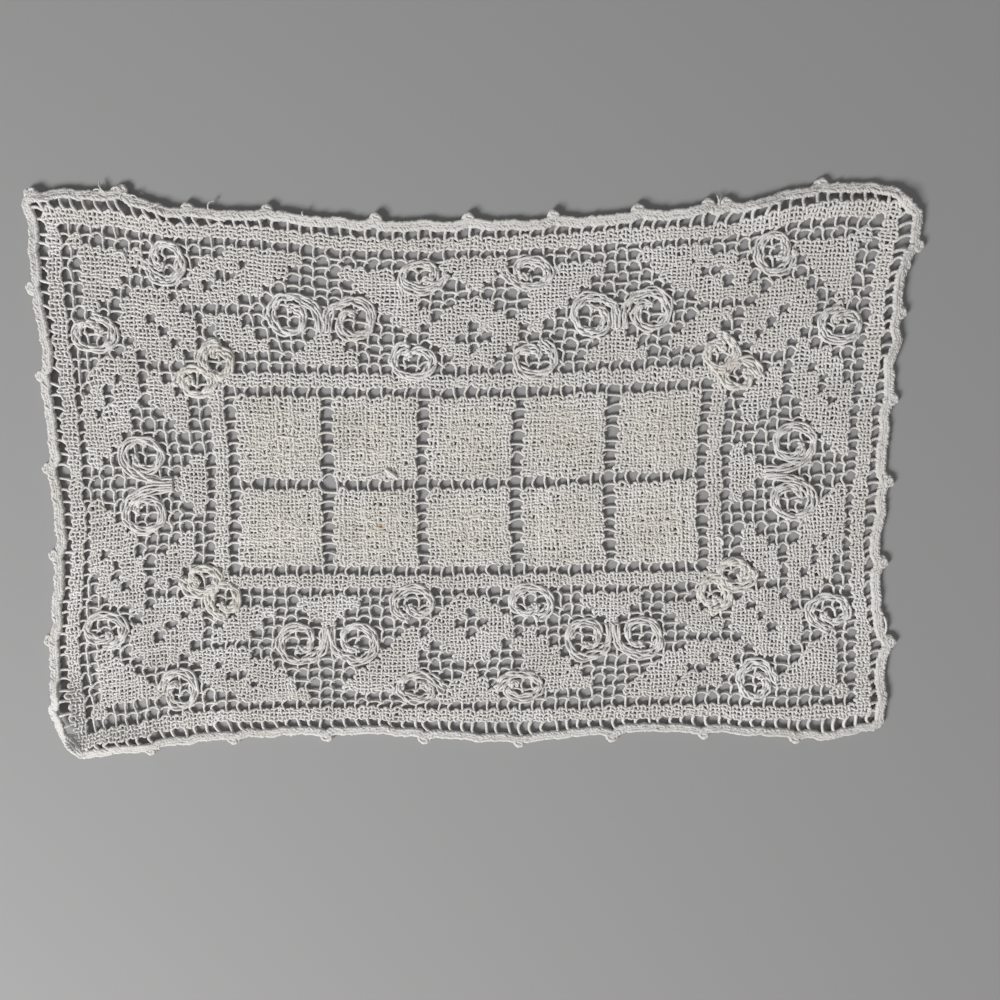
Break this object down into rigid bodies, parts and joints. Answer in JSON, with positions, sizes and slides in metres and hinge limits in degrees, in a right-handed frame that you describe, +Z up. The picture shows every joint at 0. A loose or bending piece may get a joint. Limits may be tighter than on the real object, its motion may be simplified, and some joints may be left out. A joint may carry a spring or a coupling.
{
  "type": "dresser scarf",
  "caption": "Filet lace dresser scarf lying flat: knotted square net with darned leaves and squares, run scrolls and a crocheted edging, pulled slightly out of square.",
  "frame": {"origin": "on the table under the middle of the scarf's box", "axes": "+X along the long side, +Y towards the far long side, +Z up from the table"},
  "size_m": [0.4166, 0.2754, 0.0055],
  "materials": {
    "cotton_thread": "matt twisted cotton, ecru"
  },
  "bodies": {
    "root": {"filet_lace": "cotton_thread"}
  },
  "joints": []
}
